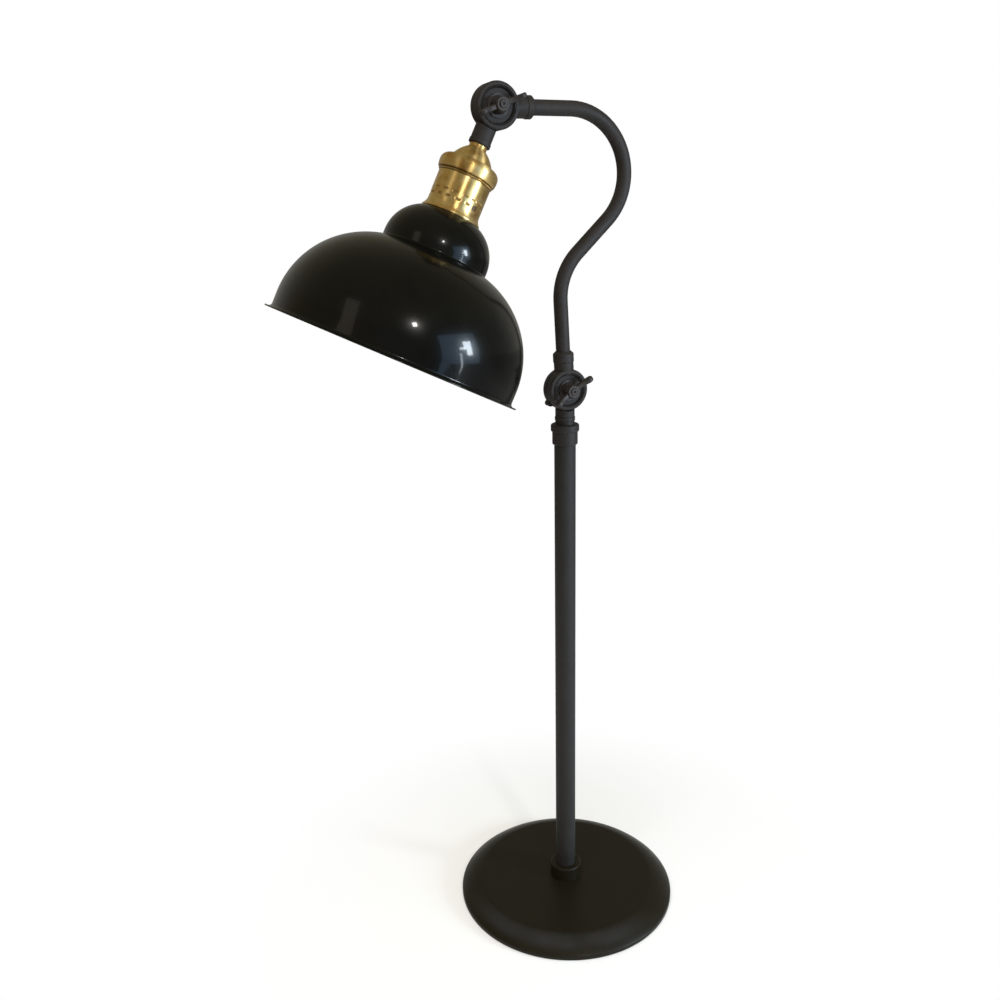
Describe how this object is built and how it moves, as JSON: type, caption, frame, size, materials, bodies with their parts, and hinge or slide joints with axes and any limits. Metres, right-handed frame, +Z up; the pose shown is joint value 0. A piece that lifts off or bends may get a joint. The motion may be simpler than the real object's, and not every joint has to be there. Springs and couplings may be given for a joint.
{
  "type": "table lamp",
  "caption": "Pipe-stem table lamp: round foot, straight stem, curved gooseneck arm on a swivel, and a tilting domed shade on a brass lampholder.",
  "frame": {"origin": "on the table, under the middle of the foot and the stem's axis", "axes": "+Z up along the stem; the shade hangs over -X and the gooseneck bulges to +X; both swivels turn about Y, with their wing nuts towards -Y"},
  "size_m": [0.3335, 0.2012, 0.7119],
  "materials": {
    "foot_paint": "near-black brown powder coat, fine texture",
    "pipe_paint": "matte dark bronze paint",
    "dark_hardware": "dark bronze plated steel",
    "zinc": "zinc plated steel",
    "brass": "bright lacquered brass, lightly brushed",
    "fibre": "vulcanised fibre",
    "felt": "black felt",
    "bushing": "moulded rubber",
    "card": "waxed card insulation",
    "phenolic": "moulded phenolic",
    "shade_enamel": "gloss black enamel outside, white inside"
  },
  "bodies": {
    "stand": {"base_plate": "foot_paint", "base_pad": "felt", "base_washer": "zinc", "base_nut": "zinc", "base_nipple": "zinc", "base_collar": "pipe_paint", "cord_bushing": "bushing", "stem_tube": "pipe_paint", "stem_foot_plug": "zinc", "stem_top_plug": "zinc", "stem_coupling": "pipe_paint", "stem_nipple": "zinc", "stand_hub": "pipe_paint", "lower_bolt": "dark_hardware", "lower_friction_washer": "fibre", "lower_thrust_washer": "dark_hardware", "lower_spring_washer": "dark_hardware"},
    "arm": {"arm_hub": "pipe_paint", "arm_collar": "pipe_paint", "gooseneck": "pipe_paint", "arm_end_collar": "pipe_paint", "arm_end_hub": "pipe_paint"},
    "head": {"head_hub": "pipe_paint", "upper_bolt": "dark_hardware", "upper_friction_washer": "fibre", "upper_thrust_washer": "dark_hardware", "upper_spring_washer": "dark_hardware", "head_nipple": "zinc", "holder_cap": "brass", "holder_shell": "brass", "holder_liner": "card", "socket_body": "phenolic", "screw_shell": "brass", "centre_contact": "brass", "terminal_screw_1": "brass", "terminal_screw_2": "brass", "shade_ring": "phenolic", "shade": "shade_enamel"},
    "lower_wing_nut": {"lower_wing_nut": "dark_hardware"},
    "upper_wing_nut": {"upper_wing_nut": "dark_hardware"}
  },
  "joints": [
    {"name": "arm_swing", "type": "hinge", "parent": "stand", "child": "arm", "pos_m": [0, 0, 0.481], "axis": [0, -1, 0], "range_deg": [-60, 45]},
    {"name": "head_tilt", "type": "hinge", "parent": "arm", "child": "head", "pos_m": [-0.05705, 0, 0.69493], "axis": [0, -1, 0], "range_deg": [-90, 7]},
    {"name": "lower_wing_turn", "type": "hinge", "parent": "stand", "child": "lower_wing_nut", "pos_m": [0, -0.0094, 0.481], "axis": [0, -1, 0], "range_deg": [0, 270]},
    {"name": "upper_wing_turn", "type": "hinge", "parent": "head", "child": "upper_wing_nut", "pos_m": [-0.05705, -0.0094, 0.69493], "axis": [0, -1, 0], "range_deg": [0, 270]}
  ]
}
